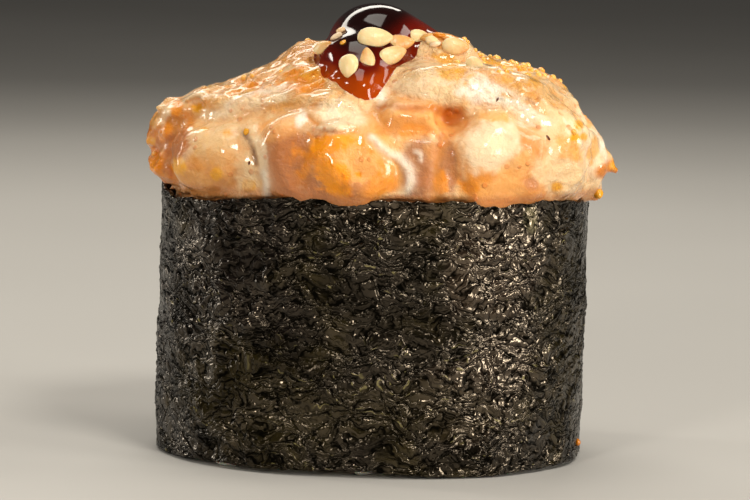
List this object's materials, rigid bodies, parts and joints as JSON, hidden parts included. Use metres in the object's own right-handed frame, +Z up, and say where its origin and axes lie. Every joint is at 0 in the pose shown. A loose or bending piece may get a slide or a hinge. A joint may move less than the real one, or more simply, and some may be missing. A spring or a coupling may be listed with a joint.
{
  "type": "gunkan sushi",
  "caption": "Oval sushi of pressed rice in a nori band, heaped with seafood chunks under baked creamy sauce, with eel sauce and sesame seeds on top.",
  "frame": {"origin": "middle of the base, where the rice stands, on the oval's own axis", "axes": "+Z up; +X along the oval's long axis, to the right as seen from the front; -Y towards the front, the side with the tongue of eel sauce"},
  "size_m": [0.0482, 0.0407, 0.0466],
  "materials": {
    "nori": "damp roasted seaweed, crinkled, with a soft sheen",
    "rice": "moist cooked short-grain rice",
    "baked_sauce": "torched creamy sauce, pale to golden orange, oily",
    "seafood": "cooked seafood under a film of sauce, wet",
    "eel_sauce": "dark red-brown glossy syrup"
  },
  "bodies": {
    "root": {"nori_band": "nori", "rice_block": "rice", "baked_sauce": "baked_sauce", "eel_sauce": "eel_sauce", "seafood_chunk_01": "seafood", "seafood_chunk_02": "seafood", "seafood_chunk_03": "seafood", "seafood_chunk_04": "seafood", "seafood_chunk_05": "seafood", "seafood_chunk_06": "seafood", "seafood_chunk_07": "seafood", "seafood_chunk_08": "seafood", "seafood_chunk_09": "seafood", "seafood_chunk_10": "seafood", "seafood_chunk_11": "seafood", "seafood_chunk_12": "seafood"}
  },
  "joints": []
}
